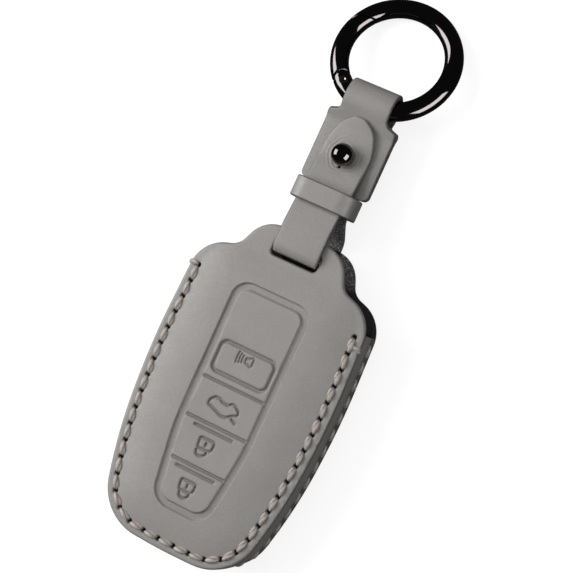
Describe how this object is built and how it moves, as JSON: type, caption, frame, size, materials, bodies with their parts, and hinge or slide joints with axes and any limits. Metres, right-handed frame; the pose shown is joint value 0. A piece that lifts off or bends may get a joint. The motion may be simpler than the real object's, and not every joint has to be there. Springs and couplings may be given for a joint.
{
  "type": "key fob cover",
  "caption": "Moulded grey leather cover for a car key with pressed button pads, saddle stitching, a studded strap with keeper and a spring gate ring.",
  "frame": {"origin": "middle of the flat rear face, on the surface that the cover lies on", "axes": "+X to the right, +Y from the rounded lower end to the ring, +Z out of the front"},
  "size_m": [0.05, 0.1487, 0.0183],
  "materials": {
    "leather": "smooth moulded grey leather with burnished edges",
    "lining": "dark grey speckled suede",
    "thread": "waxed linen thread",
    "black_nickel": "polished black nickel plate",
    "spring_steel": "plain spring steel"
  },
  "bodies": {
    "case": {"front_panel": "leather", "front_lining": "lining", "rear_panel": "leather", "rear_lining": "lining", "side_gusset": "leather", "front_stitching": "thread", "rear_stitching": "thread", "seam_wraps": "thread", "strap_loop": "leather"},
    "alarm_pad": {"alarm_pad": "leather"},
    "trunk_pad": {"trunk_pad": "leather"},
    "unlock_pad": {"unlock_pad": "leather"},
    "lock_pad": {"lock_pad": "leather"},
    "strap_head": {"strap_plate": "leather", "stud_head": "black_nickel", "stud_screw": "black_nickel"},
    "keeper": {"strap_keeper": "leather"},
    "tongue": {"tongue_flap": "leather"},
    "ring": {"ring_body": "black_nickel", "gate_pin": "black_nickel", "gate_spring": "spring_steel"},
    "gate": {"ring_gate": "black_nickel"},
    "plunger": {"gate_plunger": "spring_steel"}
  },
  "joints": [
    {"name": "alarm_press", "type": "slide", "parent": "case", "child": "alarm_pad", "axis": [0, 0, -1], "range_m": [0, 0.0006], "stiffness_N_per_m": 1000},
    {"name": "trunk_press", "type": "slide", "parent": "case", "child": "trunk_pad", "axis": [0, 0, -1], "range_m": [0, 0.0006], "stiffness_N_per_m": 1000},
    {"name": "unlock_press", "type": "slide", "parent": "case", "child": "unlock_pad", "axis": [0, 0, -1], "range_m": [0, 0.0006], "stiffness_N_per_m": 1000},
    {"name": "lock_press", "type": "slide", "parent": "case", "child": "lock_pad", "axis": [0, 0, -1], "range_m": [0, 0.0006], "stiffness_N_per_m": 1000},
    {"name": "strap_swing", "type": "hinge", "parent": "case", "child": "strap_head", "pos_m": [0, 0.03803, 0.009], "axis": [1, 0, 0], "range_deg": [-60, 75], "stiffness_Nm_per_rad": 0.25, "deforming": ["strap_loop"]},
    {"name": "keeper_slide", "type": "slide", "parent": "strap_head", "child": "keeper", "axis": [0, -1, 0], "range_m": [0, 0.0008]},
    {"name": "tongue_lift", "type": "hinge", "parent": "strap_head", "child": "tongue", "pos_m": [0, 0.05607, 0.0142], "axis": [1, 0, 0], "range_deg": [0, 55], "stiffness_Nm_per_rad": 0.002, "deforming": ["tongue_flap"]},
    {"name": "ring_swing", "type": "hinge", "parent": "strap_head", "child": "ring", "pos_m": [0, 0.07762, 0.0096], "axis": [1, 0, 0], "range_deg": [-100, 120]},
    {"name": "gate_hinge", "type": "hinge", "parent": "ring", "child": "gate", "pos_m": [-0.00887, 0.07988, 0.00898], "axis": [0, -0.2639, -0.9646], "range_deg": [0, 30], "stiffness_Nm_per_rad": 0.02, "springref_deg": -17.19},
    {"name": "plunger_slide", "type": "slide", "parent": "ring", "child": "plunger", "axis": [0.891, -0.4379, 0.1198], "range_m": [0, 0.0006], "deforming": ["gate_spring"]}
  ],
  "couplings": [
    {"joint": "plunger_slide", "follows": "gate_hinge", "m_per_rad": 0.00095}
  ]
}
